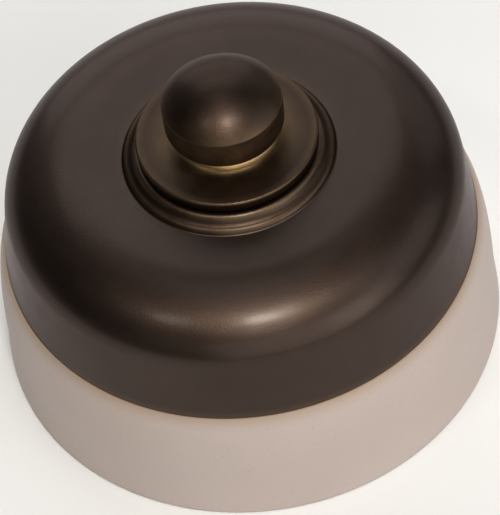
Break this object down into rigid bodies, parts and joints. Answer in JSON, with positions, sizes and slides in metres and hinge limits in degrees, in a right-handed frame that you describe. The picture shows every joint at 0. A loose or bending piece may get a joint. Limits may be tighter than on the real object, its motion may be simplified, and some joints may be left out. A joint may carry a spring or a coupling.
{
  "type": "fan speed controller",
  "caption": "Round surface-mounted rotary fan speed controller: a bronzed domed cover on a pale porcelain base, with a turned knob that clicks from off through its speeds.",
  "frame": {"origin": "centre of the base's back face, which lies on the wall", "axes": "+Z out of the wall along the knob's axis, -Y towards the terminal posts inside, X across them"},
  "size_m": [0.065, 0.065, 0.0461],
  "materials": {
    "porcelain": "unglazed, matt cream",
    "bronze": "spun and turned brass, dark antique bronze patina, satin",
    "brass": "plain turned or stamped brass",
    "steel": "zinc plated",
    "spring_metal": "spring strip",
    "phenolic": "moulded brown phenolic",
    "nylon": "moulded natural nylon",
    "capacitor_case": "moulded case",
    "lead_insulation": "insulated hook-up wire"
  },
  "bodies": {
    "fixed": {"base": "porcelain", "bridge": "steel", "bridge_inserts": "brass", "bridge_nut": "steel", "bridge_screws": "steel", "bridge_washer": "steel", "capacitor": "capacitor_case", "common_terminal": "brass", "cover": "bronze", "cover_nut": "brass", "detent_spring": "spring_metal", "fan_lead": "lead_insulation", "fan_post": "brass", "high_terminal": "brass", "low_lead": "lead_insulation", "low_terminal": "brass", "medium_lead": "lead_insulation", "medium_terminal": "brass", "post_clamp_screws": "steel", "post_fixing_screws": "steel", "return_lead": "lead_insulation", "supply_lead": "lead_insulation", "supply_post": "brass", "switch_bush": "brass", "switch_housing": "phenolic", "switch_plate": "steel"},
    "knob": {"knob": "bronze", "knob_grub_screw": "steel", "switch_shaft": "brass", "shaft_clip": "spring_metal", "rotor": "nylon", "wiper": "spring_metal"}
  },
  "joints": [
    {"name": "knob_turn", "type": "hinge", "parent": "fixed", "child": "knob", "pos_m": [0, 0, 0.035], "axis": [0, 0, -1], "range_deg": [0, 135], "deforming": ["detent_spring"]}
  ]
}
